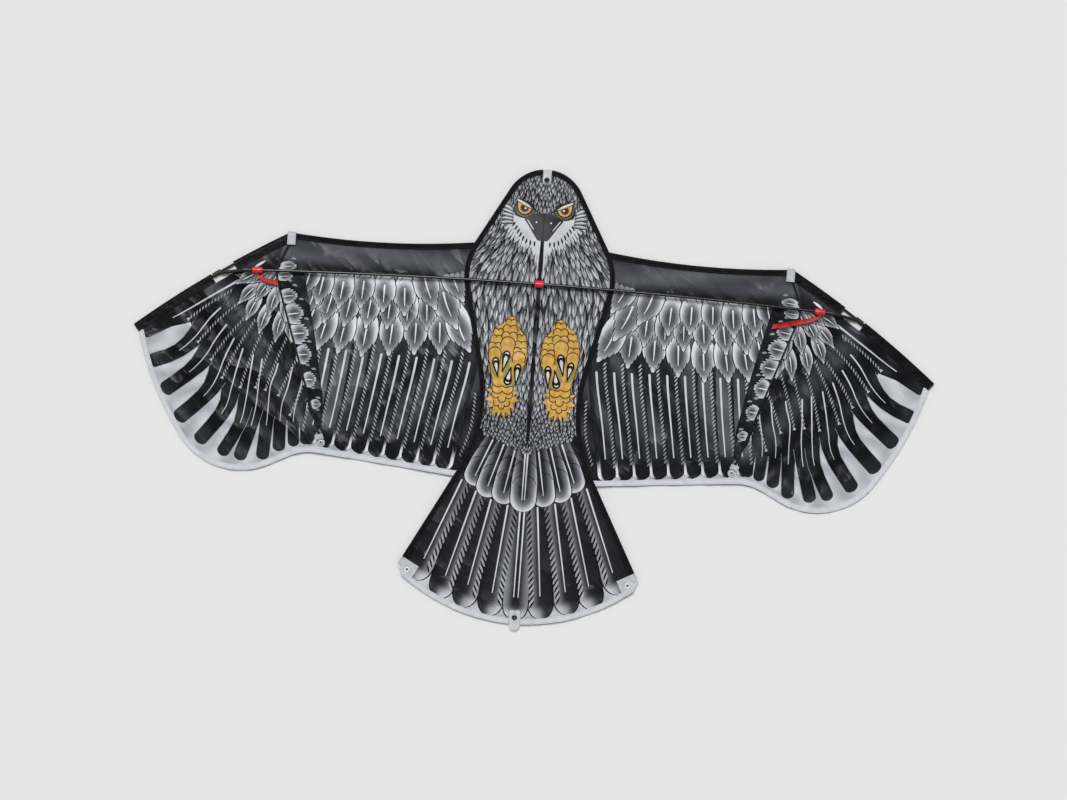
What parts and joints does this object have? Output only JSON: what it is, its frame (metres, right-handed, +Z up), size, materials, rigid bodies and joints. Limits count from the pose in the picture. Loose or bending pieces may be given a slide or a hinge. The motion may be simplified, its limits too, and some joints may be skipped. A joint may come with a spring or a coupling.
{
  "type": "bird scarer kite",
  "caption": "Flat bird-of-prey scarer kite: printed body and wing sails on a spine, cross spar, leading edge rods and struts, with line eyelets.",
  "frame": {"origin": "on the ground under the middle of the kite's span and length", "axes": "+X along the span to the kite's right in the picture, +Y to the head, +Z up to the printed face"},
  "size_m": [1.099, 0.633, 0.0169],
  "materials": {
    "printed_cloth": "printed woven polyester, slight sheen",
    "black_tape": "black woven tape, matte",
    "white_tape": "white woven tape, matte",
    "black_rod": "black glass-fibre rod, glossy",
    "black_plastic": "moulded black plastic, satin",
    "red_soft": "red soft vinyl tube, satin",
    "red_ribbon": "red satin ribbon",
    "clear_pocket": "clear vinyl pocket",
    "white_metal": "white lacquered metal eyelet",
    "dark_metal": "black lacquered metal eyelet"
  },
  "bodies": {
    "spine": {"spine": "black_rod", "spine_sleeve": "black_tape", "centre_connector": "red_soft", "head_tab": "clear_pocket", "head_eyelet": "dark_metal", "tail_tab": "clear_pocket", "tail_eyelet": "dark_metal"},
    "left_wing": {"left_body_sail": "printed_cloth", "left_wing_sail": "printed_cloth", "left_body_binding": "black_tape", "left_body_edge_rod": "black_rod", "left_leading_edge_sleeve": "black_tape", "left_leading_edge_rod": "black_rod", "left_top_hem": "black_tape", "left_trailing_hem": "white_tape", "left_tail_hem": "white_tape", "left_wing_strut": "black_rod", "left_shoulder_tab": "white_tape", "left_strut_tab": "white_tape", "left_strut_eyelet": "white_metal", "left_tail_corner_tab": "clear_pocket", "left_tail_corner_eyelet": "white_metal", "left_spar": "black_rod", "left_spar_end_fitting": "black_plastic", "left_spar_stop": "red_soft"},
    "right_wing": {"right_body_sail": "printed_cloth", "right_wing_sail": "printed_cloth", "right_body_binding": "black_tape", "right_body_edge_rod": "black_rod", "right_leading_edge_sleeve": "black_tape", "right_leading_edge_rod": "black_rod", "right_top_hem": "black_tape", "right_trailing_hem": "white_tape", "right_tail_hem": "white_tape", "right_wing_strut": "black_rod", "right_shoulder_tab": "white_tape", "right_strut_tab": "white_tape", "right_strut_eyelet": "white_metal", "right_tail_corner_tab": "clear_pocket", "right_tail_corner_eyelet": "white_metal", "right_spar": "black_rod", "right_spar_end_fitting": "black_plastic", "right_spar_stop": "red_soft"},
    "left_ribbon": {"left_ribbon": "red_ribbon"},
    "right_ribbon": {"right_ribbon": "red_ribbon"}
  },
  "joints": [
    {"name": "left_wing_fold", "type": "hinge", "parent": "spine", "child": "left_wing", "pos_m": [0, 0.158, 0.0119], "axis": [0, 1, 0], "range_deg": [0, 45], "deforming": ["centre_connector"]},
    {"name": "right_wing_fold", "type": "hinge", "parent": "spine", "child": "right_wing", "pos_m": [0, 0.158, 0.0119], "axis": [0, -1, 0], "range_deg": [0, 45], "deforming": ["centre_connector"]},
    {"name": "left_ribbon_lift", "type": "hinge", "parent": "left_wing", "child": "left_ribbon", "pos_m": [-0.385, 0.14114, 0.0102], "axis": [-0.2588, -0.9659, 0], "range_deg": [0, 120]},
    {"name": "right_ribbon_lift", "type": "hinge", "parent": "right_wing", "child": "right_ribbon", "pos_m": [0.385, 0.14114, 0.0102], "axis": [-0.2588, 0.9659, 0], "range_deg": [0, 120]}
  ]
}
